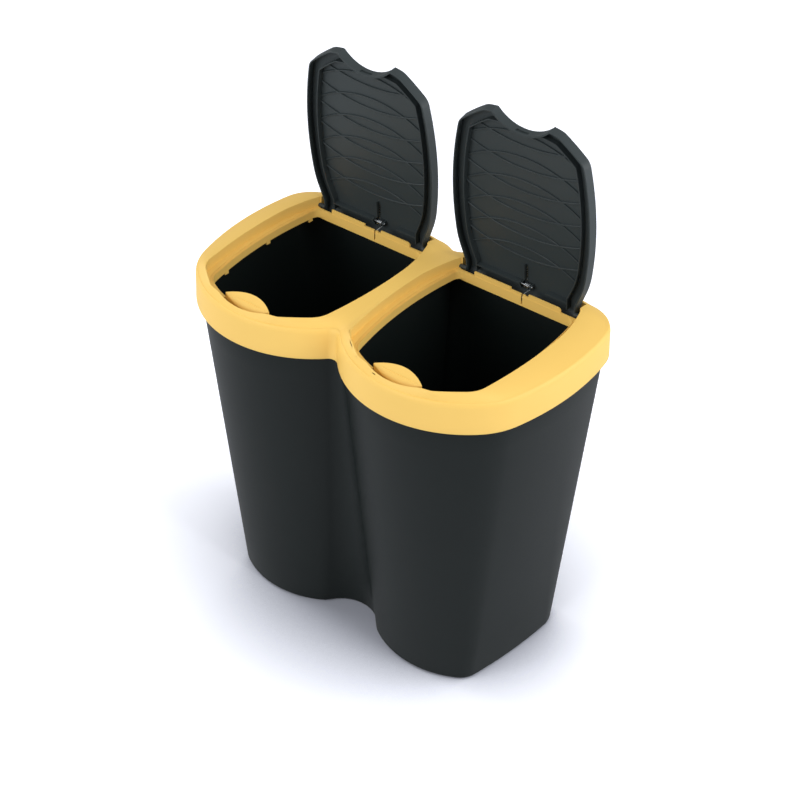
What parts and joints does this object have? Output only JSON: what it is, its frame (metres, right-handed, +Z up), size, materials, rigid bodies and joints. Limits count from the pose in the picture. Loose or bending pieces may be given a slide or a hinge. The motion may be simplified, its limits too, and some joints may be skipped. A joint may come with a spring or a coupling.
{
  "type": "double recycling bin",
  "caption": "Floor-standing twin-lobed sorting bin: one body with a compartment in each lobe, a lift-off frame, and a sprung lid with a push leaf over each compartment.",
  "frame": {"origin": "on the floor, under the middle of the frame that lies over both compartments", "axes": "+Z up, -Y the front where the push leaves are, +X to the right seen from the front"},
  "size_m": [0.531, 0.3002, 0.7357],
  "materials": {
    "black_plastic": "satin moulded polypropylene, near black",
    "yellow_plastic": "satin moulded polypropylene, warm yellow",
    "spring_steel": "drawn spring wire, dark",
    "pin_steel": "turned steel, bright"
  },
  "bodies": {
    "bin_body": {"body_shell": "black_plastic"},
    "frame": {"rim_frame": "yellow_plastic"},
    "left_lid": {"lid_left": "black_plastic", "lid_spring_left": "spring_steel", "spring_pin_left": "pin_steel"},
    "right_lid": {"lid_right": "black_plastic", "lid_spring_right": "spring_steel", "spring_pin_right": "pin_steel"},
    "left_latch": {"latch_left": "yellow_plastic"},
    "right_latch": {"latch_right": "yellow_plastic"}
  },
  "joints": [
    {"name": "frame_lift", "type": "slide", "parent": "bin_body", "child": "frame", "axis": [0, 0, 1], "range_m": [0, 0.06]},
    {"name": "lid_left_hinge", "type": "hinge", "parent": "frame", "child": "left_lid", "pos_m": [-0.1185, 0.11922, 0.4876], "axis": [1, 0, 0], "range_deg": [0, 85.5], "stiffness_Nm_per_rad": 0.16, "springref_deg": -57.3, "deforming": ["lid_spring_left"]},
    {"name": "lid_right_hinge", "type": "hinge", "parent": "frame", "child": "right_lid", "pos_m": [0.1185, 0.11922, 0.4876], "axis": [1, 0, 0], "range_deg": [0, 85.5], "stiffness_Nm_per_rad": 0.16, "springref_deg": -57.3, "deforming": ["lid_spring_right"]},
    {"name": "latch_left_pivot", "type": "hinge", "parent": "frame", "child": "left_latch", "pos_m": [-0.1185, -0.12598, 0.475], "axis": [1, 0, 0], "range_deg": [0, 5], "stiffness_Nm_per_rad": 0.5, "springref_deg": -5.73},
    {"name": "latch_right_pivot", "type": "hinge", "parent": "frame", "child": "right_latch", "pos_m": [0.1185, -0.12598, 0.475], "axis": [1, 0, 0], "range_deg": [0, 5], "stiffness_Nm_per_rad": 0.5, "springref_deg": -5.73}
  ]
}
